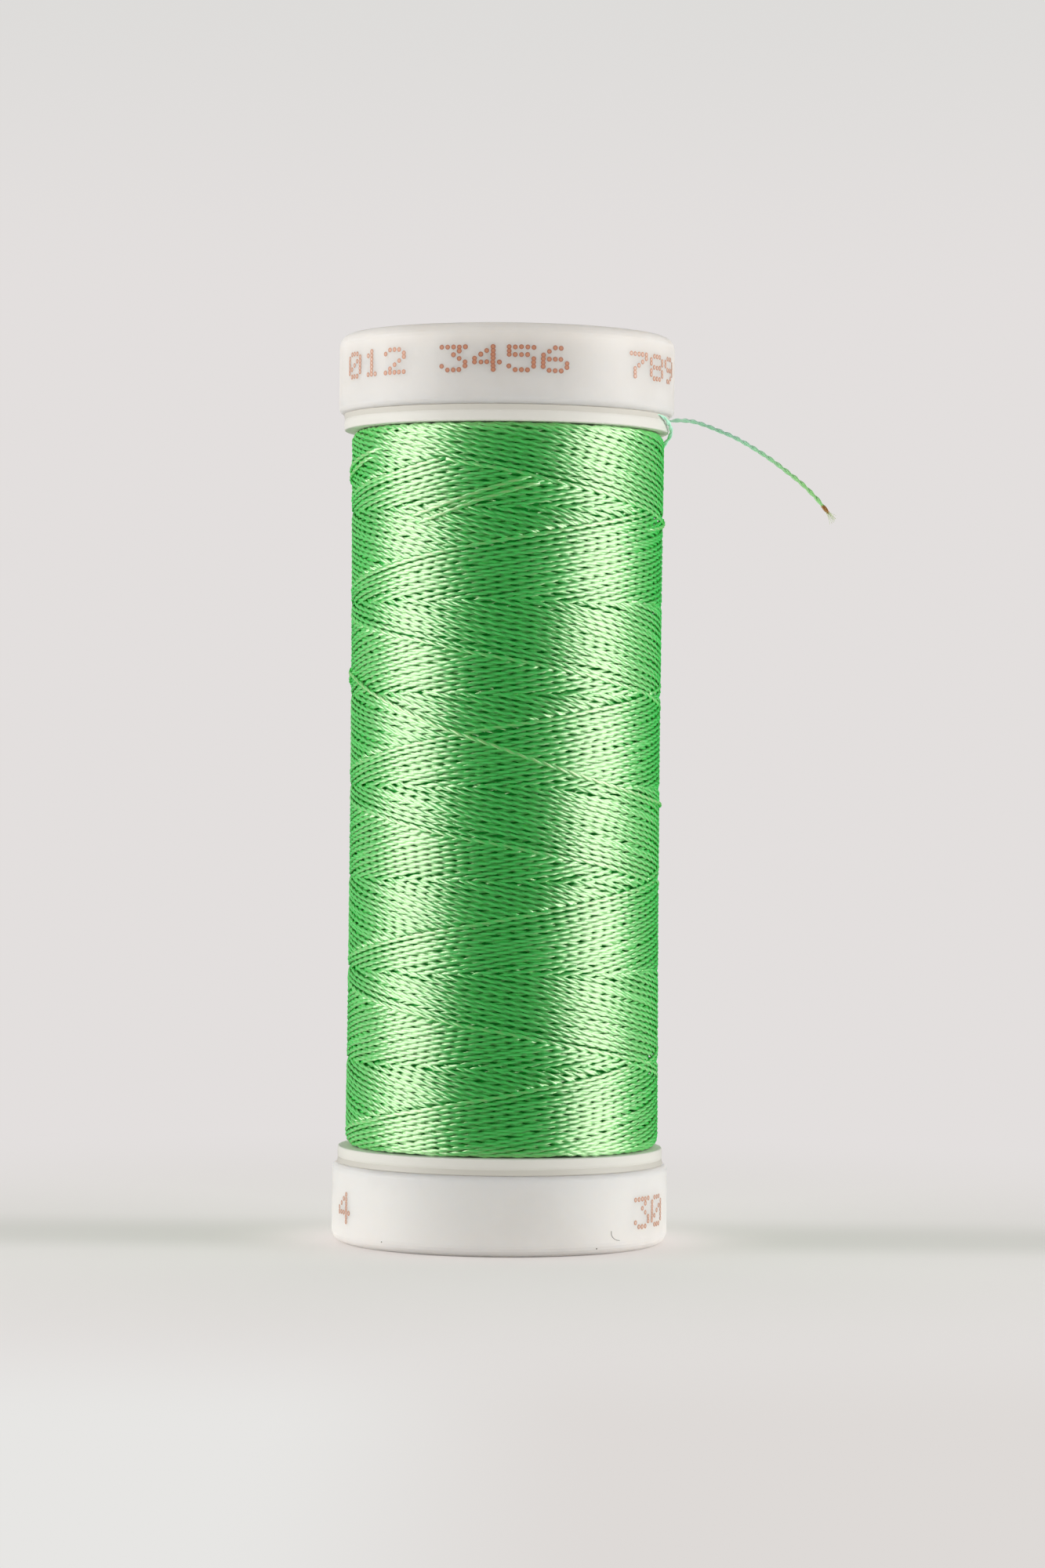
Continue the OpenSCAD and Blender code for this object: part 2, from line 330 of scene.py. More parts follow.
close_up = (1 - top.ramp(depth, *CLOSE_UP)) * (1 - top.ramp(from_spool, *CLOSE_UP_ENDS))
# Painted light: the floor near the front is lighter at the left and darker at the right.
near_floor = top.mix(top.ramp(across, *LEFT_TO_RIGHT), FLOOR_LEFT, FLOOR_RIGHT)
flat_colour = top.mix(shade, top.mix(close_up, WALL, near_floor), FLAT_BAND_COLOUR)
flat = top.node("ShaderNodeEmission", None, {"Color": flat_colour})
flat_share = FLAT_LEAST + top.ramp(from_spool, *FLAT_BEGINS) * (1 - FLAT_LEAST)
camera_ray = top.node("ShaderNodeLightPath", out=0)
both = top.node("ShaderNodeMixShader", None, [flat_share * camera_ray, lit, flat])

sheet = bmesh.new()
bmesh.ops.create_circle(sheet, cap_ends=True, radius=TABLE_RADIUS, segments=96)
table = mesh_object("table", sheet, top.surface(both))
print("table radius", TABLE_RADIUS)

# %% [markdown]
# ## The plastic
# The caps and the barrel are moulded from a warm white, slightly milky plastic with a soft
# gloss. The model has their shapes right, so its own meshes stay and only get a material:
# faint clouding in the colour, a very fine unevenness in the polish, and a shallow waviness
# that breaks reflections. Light that sinks in and comes out again makes it milky. In a thin
# ring set in other parts that light is caught and the ring turns dark, so the lips and their
# beads get little or no milkiness. The lips get a white set to how bright they show in the
# shade under the caps, which is painted light. The beads get a grey that is painted shade for
# the groove. The base cap, close to the table, gets a lighter white, painted light bounced
# from the table.

# %% Plastic
PLASTIC = (0.775, 0.722, 0.670)
PLASTIC_CLOUD = (0.740, 0.687, 0.635)
# The base cap's lighter white is painted light bounced from the table.
TABLE_LIT_PLASTIC = (0.925, 0.842, 0.778)
TABLE_LIT_CLOUD = (0.890, 0.812, 0.750)
# The beads' grey is painted shade for the groove between cap and lip.
BEAD_SHADE_GREY = (0.59, 0.57, 0.515)
# The lips' white is set to how bright they show in the shade under the caps: painted light.
LIP_LIT_WHITE = (0.74, 0.72, 0.665)
# Noise scales, in features a metre
CLOUDS, POLISH, WAVES = 260.0, 2600.0, 420.0
CLOUDED = (0.45, 0.75)


def plastic_finish(name, clear, cloudy, milky):
    white = new_material(name)
    place = white.node("ShaderNodeTexCoord", out=3)
    cloud = white.noise(place, CLOUDS, 3.0)
    fine = white.noise(place, POLISH, 2.0)
    wave = white.noise(place, WAVES, 1.0)
    relief = {"Strength": 0.12, "Distance": 0.00004, "Height": wave + fine * 0.15}
    shader = white.principled({
        "Base Color": white.mix(white.ramp(cloud, *CLOUDED), clear, cloudy),
        "Roughness": 0.36 + fine * 0.12,
        "IOR": 1.45,
        "Specular IOR Level": 0.3,
        "Subsurface Weight": milky,
        "Subsurface Radius": (1.0, 0.9, 0.8),
        "Subsurface Scale": 0.004,
        "Normal": white.node("ShaderNodeBump", None, relief),
    })
    return white.surface(shader)


bead_shade_plastic = plastic_finish("bead_shade_plastic", BEAD_SHADE_GREY, BEAD_SHADE_GREY, milky=0.0)
for name, finish in (
    ("base_cap", plastic_finish("table_lit_plastic", TABLE_LIT_PLASTIC, TABLE_LIT_CLOUD, milky=0.8)),
    ("barrel", plastic_finish("lip_lit_plastic", LIP_LIT_WHITE, LIP_LIT_WHITE, milky=0.15)),
    ("top_cap", plastic_finish("white_plastic", PLASTIC, PLASTIC_CLOUD, milky=0.8)),
):
    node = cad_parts[name]
    node.data.materials.clear()
    node.data.materials.append(finish)
    print(name, len(node.data.polygons), "faces,", finish.name)

# %% [markdown]
# ## Printed digits
# An ink jet writes small dots on the caps, five columns and seven rows a digit. A texture
# could show them, but real discs, a few micrometres thick, keep their edge at any distance.
# Drying ink pulls out to a dot's rim, so the middle is paler. Towards the sides, where the
# lamps light the wall, the ink is painted paler, which is painted light. An attribute on the
# mesh says how much, and the material turns that into colour.

# %% Ink
INK_RIM = (0.38, 0.115, 0.060)
INK_MIDDLE = (0.58, 0.28, 0.165)
DIGITS = {
    "0": "01110 10001 10011 10101 11001 10001 01110",
    "1": "00100 01100 00100 00100 00100 00100 01110",
    "2": "01110 10001 00001 00010 00100 01000 11111",
    "3": "11111 00010 00100 00010 00001 10001 01110",
    "4": "00010 00110 01010 10010 11111 00010 00010",
    "5": "11111 10000 11110 00001 00001 10001 01110",
    "6": "00110 01000 10000 11110 10001 10001 01110",
    "7": "11111 00001 00010 00100 01000 01000 01000",
    "8": "01110 10001 10001 01110 10001 10001 01110",
    "9": "01110 10001 10001 01111 00001 00010 01100",
}
ink = new_material("print_ink")
level = ink.node("ShaderNodeAttribute", {"attribute_name": "ink"}, out=2)
thin_ink = ink.mix(ink.ramp(level, 0.0, 0.5), PLASTIC, INK_MIDDLE)
ink_colour = ink.mix(ink.ramp(level, 0.5, 1.0), thin_ink, INK_RIM)
print_ink = ink.surface(ink.principled({"Base Color": ink_colour, "Roughness": 0.45}))
print("ink for", len(DIGITS), "digits")

# %% [markdown]
# A dot is three rings and a middle point: the first ring is sunk in the wall, the second is
# the dot's edge, the third lies where the ink begins to thin. The pairs are the least ink at
# each place and what a full dot adds. The rows of a digit overlap, so each lies a touch higher
# than the last and no two surfaces share a place.

# %% Dots on a round wall
DOT_SIDES = 12
DOT_RADIUS = 0.160 * MM
DOT_SUNK = 0.05 * MM
DOT_THINS = 0.62
EDGE_INK, THIN_INK, MIDDLE_INK = (0.72, 0.28), (0.30, 0.42), (0.05, 0.50)


def smooth(x):
    """0 at -1, 1 at +1, smooth between."""
    t = np.clip((x + 1) / 2, 0, 1)
    return t * t * (3 - 2 * t)


def add_dot(shape, layer, wall, angle, z, size, lift, amount):
    """One closed disc; amount is how dark its ink shows, rim to middle, lower at the sides where
    the ink is painted paler for the lamps' light.
    """
    inks = (EDGE_INK, THIN_INK, MIDDLE_INK)
    edge_ink, thin_ink, middle_ink = (least + more * amount for least, more in inks)
    rings = []
    for share, out, value in (
        (1, -DOT_SUNK, 1), (1, lift, edge_ink), (DOT_THINS, lift, thin_ink)
    ):
        ring = []
        for side in range(DOT_SIDES):
            turn = 2 * math.pi * side / DOT_SIDES
            across = share * size * math.cos(turn) / wall
            up = share * size * math.sin(turn)
            vert = shape.verts.new(on_circle(wall + out, angle + across, z + up))
            vert[layer] = value
            ring.append(vert)
        rings.append(ring)
    middle = shape.verts.new(on_circle(wall + lift, angle, z))
    middle[layer] = middle_ink
    for low, high in zip(rings, rings[1:]):
        for i in range(DOT_SIDES):
            j = (i + 1) % DOT_SIDES
            shape.faces.new((low[i], low[j], high[j], high[i]))
    for i in range(DOT_SIDES):
        shape.faces.new((rings[-1][i], rings[-1][(i + 1) % DOT_SIDES], middle))
    shape.faces.new(rings[0][::-1])


print("a dot has", 3 * DOT_SIDES + 1, "faces")


# %% Lines of print
COLUMN_PITCH = 0.40 * MM
INK_HEIGHT = 0.005 * MM
ROW_RISE = 0.0012 * MM
SIDE_LIGHT_PALING, SIDE_LIGHT_DEG = 0.8, (38, 14)
ASIDE_ERROR, HEIGHT_ERROR, SIZE_ERROR = 0.008 * MM, 0.006 * MM, 0.004 * MM
TOP_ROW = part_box("top_cap")[1].z - 1.66 * MM
BASE_ROW = 3.44 * MM
dot_random = np.random.default_rng(5)


def print_line(name, text, first_deg, pitch_deg, top_row, row_pitch, node, body):
    """Writes text round a cap; a space leaves a digit's room free."""
    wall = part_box(node)[1].x
    shape = bmesh.new()
    layer = shape.verts.layers.float.new("ink")
    for number, digit in enumerate(text):
        middle_deg = first_deg + pitch_deg * number
        # Towards the sides, where the lamps light the wall, the ink is painted paler: painted
        # light.
        side_lit = smooth((abs(middle_deg) - SIDE_LIGHT_DEG[0]) / SIDE_LIGHT_DEG[1])
        amount = float(1 - SIDE_LIGHT_PALING * side_lit)
        for row, cells in enumerate(DIGITS.get(digit, "").split()):
            for column in [place for place, cell in enumerate(cells) if cell == "1"]:
                angle = math.radians(middle_deg) + (column - 2) * COLUMN_PITCH / wall
                angle += dot_random.normal(0, ASIDE_ERROR) / wall
                z = top_row - row * row_pitch + dot_random.normal(0, HEIGHT_ERROR)
                size = DOT_RADIUS + dot_random.normal(0, SIZE_ERROR)
                lift = INK_HEIGHT + ROW_RISE * row
                add_dot(shape, layer, wall, angle, z, size, lift, amount)
    piece = mesh_object(name, shape, print_ink)
    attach(piece, body)
    print(piece.name, len(piece.data.polygons), "faces")


print_line("top_print", "012 3456  789", -63.5, 11.4, TOP_ROW, 0.245 * MM, "top_cap", "top")
print_line("base_print", "4          30", -66.0, 11.2, BASE_ROW, 0.300 * MM, "base_cap", "base")

# %% [markdown]
# ## The closed gap
# Each lip carries a low bead that almost touches the cap's rim. It is what grips the thread,
# and it closes the gap to a shallow groove, so that no dark slit shows. A torus would be too
# round, so the bead's section is drawn and spun round the axis.

# %% Bead rings
SHARP_DEG = 25


def spun(name, profile, material, segments=96):
    """A closed solid of revolution from a list of (radius, height)."""
    shape = bmesh.new()
    ring = [shape.verts.new((r, 0, z)) for r, z in profile]
    edges = [shape.edges.new((a, b)) for a, b in zip(ring, ring[1:] + ring[:1])]
    bmesh.ops.spin(
        shape, geom=ring + edges, cent=(0, 0, 0), axis=(0, 0, 1),
        angle=2 * math.pi, steps=segments, use_merge=True,
    )
    bmesh.ops.remove_doubles(shape, verts=shape.verts[:], dist=1e-7)
    bmesh.ops.recalc_face_normals(shape, faces=shape.faces[:])
    for face in shape.faces:
        face.smooth = True
    for edge in shape.edges:
        edge.smooth = edge.calc_face_angle() < math.radians(SHARP_DEG)
    return mesh_object(name, shape, material)


LIP_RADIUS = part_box("barrel")[1].x
LIP_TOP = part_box("barrel")[1].z
LIP_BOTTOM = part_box("barrel")[0].z
# The bead's section in mm: past the lip's edge, and up from the lip's outer face
BEAD = [
    (-0.60, -0.20), (-0.05, -0.36), (0.0, -0.11), (0.03, 0.04), (0.01, 0.066),
    (-0.11, 0.055), (-0.60, 0.055),
]
for name, face, way in (("upper_bead", LIP_TOP, 1), ("lower_bead", LIP_BOTTOM, -1)):
    section = [(LIP_RADIUS + past * MM, face + way * up * MM) for past, up in BEAD]
    bead = spun(name, section, bead_shade_plastic)
    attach(bead, "reel")
    print(bead.name, len(bead.data.polygons), "faces")

# %% [markdown]
# ## The thread's finish
# Sewing thread is two bundles of fine filaments, the plies, twisted together. Filaments are
# tiny rods: they spread a lamp's light widely round themselves and hardly along their length,
# so a turn shows a bright bead wherever a ply faces a lamp. Each could be modelled, but there
# are hundreds in a ply, so an anisotropic gloss and fine streaks along the ply stand for them.
# The streaks need a UV map that runs along each ply.
#
# An attribute, the crown, says how high a point lies on its thread: 0 at the back, 1 at the
# front, more on a turn that stands proud. It mixes two surfaces. The crown mirrors the lamps.
# Down between the turns light only arrives by way of other green threads, so the gloss there
# is painted green too. A turn that stands proud catches more light, so it is painted a lighter
# green, which is painted light.

# %% Streaks along a ply
PLY_UV = "OFBake"
FILAMENT_SCALE = (6.0, 2400.0, 1.0)
TONE_SCALE = (9.0, 137.0, 1.0)


def streaks(finish, scale, detail):
    """A noise that the UV map draws out along the plies."""
    along = finish.node("ShaderNodeUVMap", {"uv_map": PLY_UV})
    drawn_out = finish.node("ShaderNodeMapping", None, {"Vector": along, "Scale": scale})
    return finish.noise(drawn_out, 1.0, detail)


print("streaks follow the UV map", PLY_UV)

# %% Thread
GREEN = (0.005, 1.0, 0.130)
GREEN_DEEP = (0.003, 0.95, 0.110)
GREEN_GAP = (0.001, 1.0, 0.100)
# Proud turns are painted this lighter green for the light they catch: painted light.
GREEN_PROUD_LIT = (0.30, 0.95, 0.22)
GLOSS_TINT = (0.98, 0.92, 0.83)
# The gloss between the turns is painted green for light bounced from other threads.
GAP_TINT = (0.72, 0.93, 0.58)
CROWN = "crown"
TONES = (0.30, 0.72)
# Between which values of the crown each fades in
ON_CROWN, COATED, PROUD = (0.60, 0.94), (0.55, 0.95), (1.00, 1.30)
ROD_GLOSS = {"Specular IOR Level": 1.0, "Anisotropic": 1.0, "Anisotropic Rotation": 0.25}

sheen = new_material("green_thread")
streak = streaks(sheen, FILAMENT_SCALE, 2.0)
tone = streaks(sheen, TONE_SCALE, 1.0)
light = sheen.ramp(tone * 0.7 + streak * 0.3, *TONES)
crown = sheen.node("ShaderNodeAttribute", {"attribute_name": CROWN}, out=2)
proud = sheen.ramp(crown, *PROUD)
relief = {"Strength": 0.25, "Distance": 0.00001, "Height": streak}
filaments = sheen.principled({
    **ROD_GLOSS,
    "Base Color": sheen.mix(proud, sheen.mix(light, GREEN_DEEP, GREEN), GREEN_PROUD_LIT),
    "Roughness": 0.31 + streak * 0.12,
    "IOR": 3.0,
    "Specular Tint": GLOSS_TINT,
    "Coat Weight": sheen.ramp(crown, *COATED) * 0.5 + proud * 0.5,
    "Coat Roughness": 0.55,
    "Coat IOR": 2.0,
    "Coat Tint": GLOSS_TINT,
    "Normal": sheen.node("ShaderNodeBump", None, relief),
})
between = sheen.principled({
    **ROD_GLOSS,
    "Base Color": GREEN_GAP,
    "Roughness": 0.50,
    "IOR": 4.9,
    "Specular Tint": GAP_TINT,
})
by_crown = [sheen.ramp(crown, *ON_CROWN), between, filaments]
green_thread = sheen.surface(sheen.node("ShaderNodeMixShader", None, by_crown))
print(green_thread.name, "has", len(green_thread.node_tree.nodes), "nodes")

# %% [markdown]
# ## How the package is wound
# The winding machine swings the thread up and down while the spool turns, so the turns climb
# at one slope and come back at the same slope. The outer layer shows as strips: above each
# seam the rising turns lie on top, below it the falling ones, and inside a strip one boundary
# turn parts the two. Layer by layer it would be endless work, but all that is ever seen is two
# families of parallel helices, and which of them is on top.
#
# The model gives the heights: the package fills the room between the lips, where thread_core
# is. No package is quite true to its axis, so this one lies a tenth of a millimetre to the
# right.

# %% The package's sizes
low_corner, high_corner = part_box("thread_core")
PACK_LOW, PACK_HIGH = low_corner.z, high_corner.z
PACK_RADIUS = high_corner.x
WAIST = 0.1 * MM
SHOULDER = 0.8 * MM
OFF_CENTRE = 0.11 * MM
THREAD = 0.32 * MM
STRIP = 6.066 * MM
TURNS_PER_SWING = 34
SPACING = 2 * STRIP / TURNS_PER_SWING
SLOPE = STRIP / math.pi
TOP_SEAM = PACK_HIGH - 5.50 * MM
LEVELS = [PACK_HIGH] + [TOP_SEAM - STRIP * k for k in range(7)] + [PACK_LOW]
STRIPS = len(LEVELS) - 1


def pack_radius(z, angle=0.0):
    """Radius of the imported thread: drawn in at the waist, rounded at both ends."""
    share = np.clip((z - PACK_LOW) / (PACK_HIGH - PACK_LOW), 0, 1)
    to_end = np.minimum(z - PACK_LOW, PACK_HIGH - z)
    inside = np.clip(SHOULDER - to_end, 0, SHOULDER)
    rounding = SHOULDER - np.sqrt(SHOULDER**2 - inside**2)
    return PACK_RADIUS - WAIST * np.sin(math.pi * share) - rounding + OFF_CENTRE * np.sin(angle)


print("package from", round(PACK_LOW / MM, 2), "to", round(PACK_HIGH / MM, 2), "mm")
print("turns lie", round(SPACING / MM, 3), "mm apart")

# %% [markdown]
# ## Which turn is on top
# Each family has its own regions, where its turns lie on top. How far a point is from the
# region's two edges says whether it is on top, under the other family, or on its way between.
# One function gives the boundary's height at any angle: a zigzag that follows real turns. The
# other compares a turn with it, strip by strip.

# %% Boundary
MIDDLE_ANGLE = math.radians(-22)
BOUNDARY_SHIFT = (0, 0, 0, 0, 0, 1, 0, -1)


def boundary(strip, angle):
    """Height of the strip's boundary turn, and whether it rises there."""
    middle = TOP_SEAM + STRIP * (0.5 - strip) + SPACING / 4
    swing = BOUNDARY_SHIFT[strip] * SPACING / SLOPE
    turn = (angle - MIDDLE_ANGLE - swing + math.pi) % (2 * math.pi) - math.pi
    if strip == 0:
        return middle - SLOPE * np.abs(turn), turn < 0
    sense = 1 if strip % 2 else -1
    in_front = np.abs(turn) <= math.pi / 2
    folded = np.where(in_front, turn, math.pi * np.sign(turn) - turn)
    return middle + sense * SLOPE * folded, in_front == (sense > 0)


print("strips:", STRIPS)

# %% Cover
DIVE = 0.24 * MM
EDGE_LIFT = 0.05 * MM


def cover(z, angle, rising, seam_offset):
    """How far each point of a turn lies on top (0 to 1), its lift at an edge, and its strip."""
    way = 1 if rising else -1
    shown, lift = np.zeros_like(z), np.zeros_like(z)
    strips = np.zeros(len(z), int)
    for strip in range(STRIPS):
        here = (z <= LEVELS[strip]) & (z > LEVELS[strip + 1])
        edge, edge_rises = boundary(strip, angle[here])
        own_edge = edge_rises == rising
        past_edge = np.abs(edge - z[here]) - SPACING / 2
        lift[here] = own_edge * EDGE_LIFT * (1 - smooth(past_edge / (SPACING / 4)))
        to_edge = way * (edge - z[here]) + np.where(own_edge, SPACING / 2, -SPACING / 2)
        seam = way * (z[here] - LEVELS[strip + 1 if rising else strip])
        starts_at_rim = strip == (STRIPS - 1 if rising else 0)
        past_seam = 1 if starts_at_rim else smooth((seam + seam_offset) / DIVE)
        shown[here] = past_seam * smooth(to_edge / (SPACING / 2))
        strips[here] = strip
    for level in LEVELS[1:-1]:
        past = way * (z - level)
        dives_on = smooth((past + seam_offset) / DIVE)
        shown = np.where(past < 0, np.maximum(shown, dives_on), shown)
    return shown, lift * shown, strips


print("a turn dives over", round(2 * DIVE / MM, 2), "mm of height")

# %% [markdown]
# ## One turn after another
# A turn's radius follows the package, higher where it is on top, and a boundary turn rides
# higher still. Tension is never even, so small slow wanders keep neighbours from being copies.
# Where a turn shows, it is made as two twisted plies; where it is under others, one plain
# strand is enough.

# %% Laying a turn
STEP = 0.235 * MM
END_BEND = 0.30 * MM
ON_TOP = 0.17 * MM
UNDER = -0.09 * MM
# Radians that are sampled before a helix's start and beyond its end
BEFORE, BEYOND = 0.25, 0.2


def helix(index, rising):
    """Angles and heights of one whole helix, and how far it has turned since its start."""
    aim = TOP_SEAM - STRIP / 2 + SPACING / 4
    rims = PACK_LOW + THREAD / 2, PACK_HIGH - THREAD / 2
    if rising:
        way, (start_z, stop_z) = 1, rims
        phase = (aim - start_z + END_BEND) / SLOPE - MIDDLE_ANGLE
    else:
        way, (stop_z, start_z) = -1, rims
        phase = (start_z - END_BEND - (aim - STRIP)) / SLOPE + MIDDLE_ANGLE
    sweep = (abs(stop_z - start_z) + END_BEND) / SLOPE + BEYOND
    turned = np.arange(-BEFORE, sweep, STEP / (PACK_RADIUS + ON_TOP))
    z = start_z + way * (np.sqrt((SLOPE * turned) ** 2 + END_BEND**2) - END_BEND)
    keep = way * z < way * stop_z
    start = index * SPACING / SLOPE - phase
    return turned[keep] + start, z[keep], turned[keep]


def round_axis(angle, radius, z):
    """A path round the spool's axis, and the direction away from the axis along it."""
    outward = np.stack([np.sin(angle), -np.cos(angle), np.zeros_like(angle)], axis=1)
    path = outward * radius[:, None]
    path[:, 2] = z
    return path, outward


print("turns in all:", 2 * TURNS_PER_SWING)

# %% Wander
WANDER_PERIODS = (5 * MM, 22 * MM)
wander_random = np.random.default_rng(21)


def wander(length, size):
    """A slow random drift along a turn."""
    drift = np.zeros_like(length)
    for wave in range(4):
        period = wander_random.uniform(*WANDER_PERIODS)
        phase = wander_random.uniform(0, 2 * math.pi)
        drift += np.sin(2 * math.pi * length / period + phase)
    return drift * size / 2


print("waves of", [round(p / MM, 1) for p in WANDER_PERIODS], "mm")

# %% From a path to strands
PLY_RADIUS = 0.104 * MM
PLY_OFFSET = 0.055 * MM
TWIST_PITCH = 1.8 * MM
THIN_TIP = 0.25


def twisted(centre, outward, phase, offset=PLY_OFFSET):
    """The two plies' paths round a thread's path. The twist is right-handed."""
    along = np.gradient(centre, axis=0)
    steps = np.linalg.norm(along, axis=1)
    along /= steps[:, None]
    length = np.concatenate([[0], np.cumsum((steps[1:] + steps[:-1]) / 2)])
    aside = np.cross(along, outward)
    paths = []
    for half in (0, 0.5):
        turn = phase + 2 * math.pi * (length / TWIST_PITCH + half)
        round_path = np.cos(turn)[:, None] * outward + np.sin(turn)[:, None] * aside
        paths.append(centre + offset * round_path)
    return paths


def tapered(count, radius):
    """The strand's radius at each of its points; both tips run out thin, so no end shows."""
    from_tip = np.minimum(np.arange(count), np.arange(count)[::-1])
    return radius * np.clip(THIN_TIP * (1 + from_tip), 0, 1)


def runs(flags):
    """Start and end of each unbroken stretch of equal flags."""
    edges = np.flatnonzero(np.diff(flags.astype(int))) + 1
    return list(zip(np.concatenate([[0], edges]), np.concatenate([edges, [len(flags)]])))


print("one twist takes", round(TWIST_PITCH / MM, 2), "mm")

# %% [markdown]
# A strand is three things: its points, its radius at each, and how far the middle of its thread
# is from the spool's axis, from which the crown attribute comes. A lifted boundary turn gets a
# middle that is too low, on purpose, so that it counts as proud and is painted the lighter green
# of a proud turn, which is painted light.

# %% All the turns
HIDDEN_RADIUS = 0.15 * MM
SEAM_OFFSET, MOST_SEAM_OFFSET = 0.08 * MM, 0.16 * MM
DRIFT, SHIFT, HEIGHT_DRIFT = 0.042 * MM, 0.022 * MM, 0.012 * MM
RIM_DIVE_MIDDLE, RIM_DIVE = -0.06, 0.08  # radians
BARELY_SHOWN = 0.03
FEWEST_SHOWN, FEWEST_HIDDEN, HIDDEN_EVERY = 4, 6, 3  # points
# A lifted turn's middle is lowered by this many lifts, so it counts as proud and is painted the
# lighter green: painted light.
LIFT_COUNTS = 1.6
shown_strands = [[] for strip in range(STRIPS)]
hidden_strands = [[] for strip in range(STRIPS)]
for rising in (True, False):
    for index in range(TURNS_PER_SWING):
        angle, z, turned = helix(index, rising)
        length = turned * PACK_RADIUS
        seam_offset = wander_random.normal(0, SEAM_OFFSET)
        seam_offset = np.clip(seam_offset, -MOST_SEAM_OFFSET, MOST_SEAM_OFFSET)
        on_top, lift, strips = cover(z, angle, rising, seam_offset)
        from_rim = smooth((turned - RIM_DIVE_MIDDLE) / RIM_DIVE)
        on_top, lift = on_top * from_rim, lift * from_rim
        z = z + wander(length, DRIFT) + wander_random.normal(0, SHIFT)
        z = np.clip(z, PACK_LOW + THREAD / 2, PACK_HIGH - THREAD / 2)
        level = UNDER + (ON_TOP - UNDER) * on_top + lift
        radius = pack_radius(z, angle) + level + wander(length, HEIGHT_DRIFT)
        centre, outward = round_axis(angle, radius, z)
        middle = radius - LIFT_COUNTS * lift
        for first, last in runs(on_top > BARELY_SHOWN):
            halfway = (first + last) // 2
            strip = strips[halfway]
            if on_top[halfway] > BARELY_SHOWN:
                part = slice(max(first - 1, 0), last + 1)
                if len(z[part]) > FEWEST_SHOWN:
                    phase = wander_random.uniform(0, 2 * math.pi)
                    for path in twisted(centre[part], outward[part], phase):
                        size = tapered(len(path), PLY_RADIUS)
                        shown_strands[strip].append((path, size, middle[part]))
            elif last - first > FEWEST_HIDDEN:
                part = slice(first, last, HIDDEN_EVERY)
                size = tapered(len(z[part]), HIDDEN_RADIUS)
                hidden_strands[strip].append((centre[part], size, radius[part]))
print("shown plies:", sum(map(len, shown_strands)))
print("hidden strands:", sum(map(len, hidden_strands)))

# %% [markdown]
# ## From strands to meshes
# A bevelled curve keeps an even round section along any path, so it suits a strand better than
# a stretched cylinder. Hundreds of strands share one curve, which is then made a mesh. It gets
# its UV map, with a row for each strand, then the crown attribute, and last its ends are closed.

# %% A row of the UV map for each strand
SIDES = 6
ROW_MARGIN = 0.1


def map_strands(mesh, strands, longest):
    """Writes the UV map; the map is as wide as a strand of the longest length."""
    row, along = [], []
    for number, (points, _, _) in enumerate(strands):
        steps = np.linalg.norm(np.diff(points, axis=0), axis=1)
        row.append(np.full(len(points), number))
        along.append(np.concatenate([[0], np.cumsum(steps)]) / longest)
    row = np.repeat(np.concatenate(row), SIDES)
    along = np.repeat(np.concatenate(along), SIDES)
    side = np.tile(np.arange(SIDES), len(row) // SIDES)
    corner = np.zeros(len(mesh.loops), int)
    mesh.loops.foreach_get("vertex_index", corner)
    corner_side = side[corner].reshape(-1, 4)
    wraps = (corner_side.max(axis=1) == SIDES - 1) & (corner_side.min(axis=1) == 0)
    corner_side[wraps] += np.where(corner_side[wraps] == 0, SIDES, 0)
    up_row = ROW_MARGIN + (1 - 2 * ROW_MARGIN) * corner_side.ravel() / SIDES
    v = (row[corner] + up_row) / len(strands)
    while mesh.uv_layers:
        mesh.uv_layers.remove(mesh.uv_layers[0])
    layer = mesh.uv_layers.new(name=PLY_UV)
    uv = np.stack([along[corner], v], axis=1)
    layer.data.foreach_set("uv", uv.astype(np.float32).ravel())


print("strands have", SIDES, "sides")


# %% Crown, flat side and ends
FLATTENED = 0.62


def points_of(mesh):
    """The mesh's points, a row of x, y and z for each."""
    co = np.zeros(len(mesh.vertices) * 3)
    mesh.vertices.foreach_get("co", co)
    return co.reshape(-1, 3)


def write_crown(mesh, strands):
    """Writes how high each point lies on its thread: 0 back, 1 crown, up to 1.5 if proud."""
    co = points_of(mesh)
    middles = [np.broadcast_to(middle, len(points)) for points, _, middle in strands]
    middle = np.repeat(np.concatenate(middles), SIDES)
    height = 0.5 + (np.hypot(co[:, 0], co[:, 1]) - middle) / THREAD
    crown = mesh.attributes.new(CROWN, "FLOAT", "POINT")
    crown.data.foreach_set("value", np.clip(height, 0, 1.5).astype(np.float32))


def press_flat(mesh, lift=0.0):
    """Flattens the turns against the package, about the circle their centres lie on."""
    co = points_of(mesh)
    radius = np.hypot(co[:, 0], co[:, 1])
    middle = pack_radius(co[:, 2], np.arctan2(co[:, 0], -co[:, 1])) + ON_TOP + lift
    co[:, :2] *= ((middle + FLATTENED * (radius - middle)) / radius)[:, None]
    mesh.vertices.foreach_set("co", co.ravel())


def close_ends(mesh):
    """Fills the open ring at each end of every strand."""
    shape = bmesh.new()
    shape.from_mesh(mesh)
    bmesh.ops.holes_fill(shape, edges=[e for e in shape.edges if e.is_boundary], sides=SIDES)
    shape.to_mesh(mesh)
    shape.free()


print("turns are pressed to", FLATTENED, "of their height")


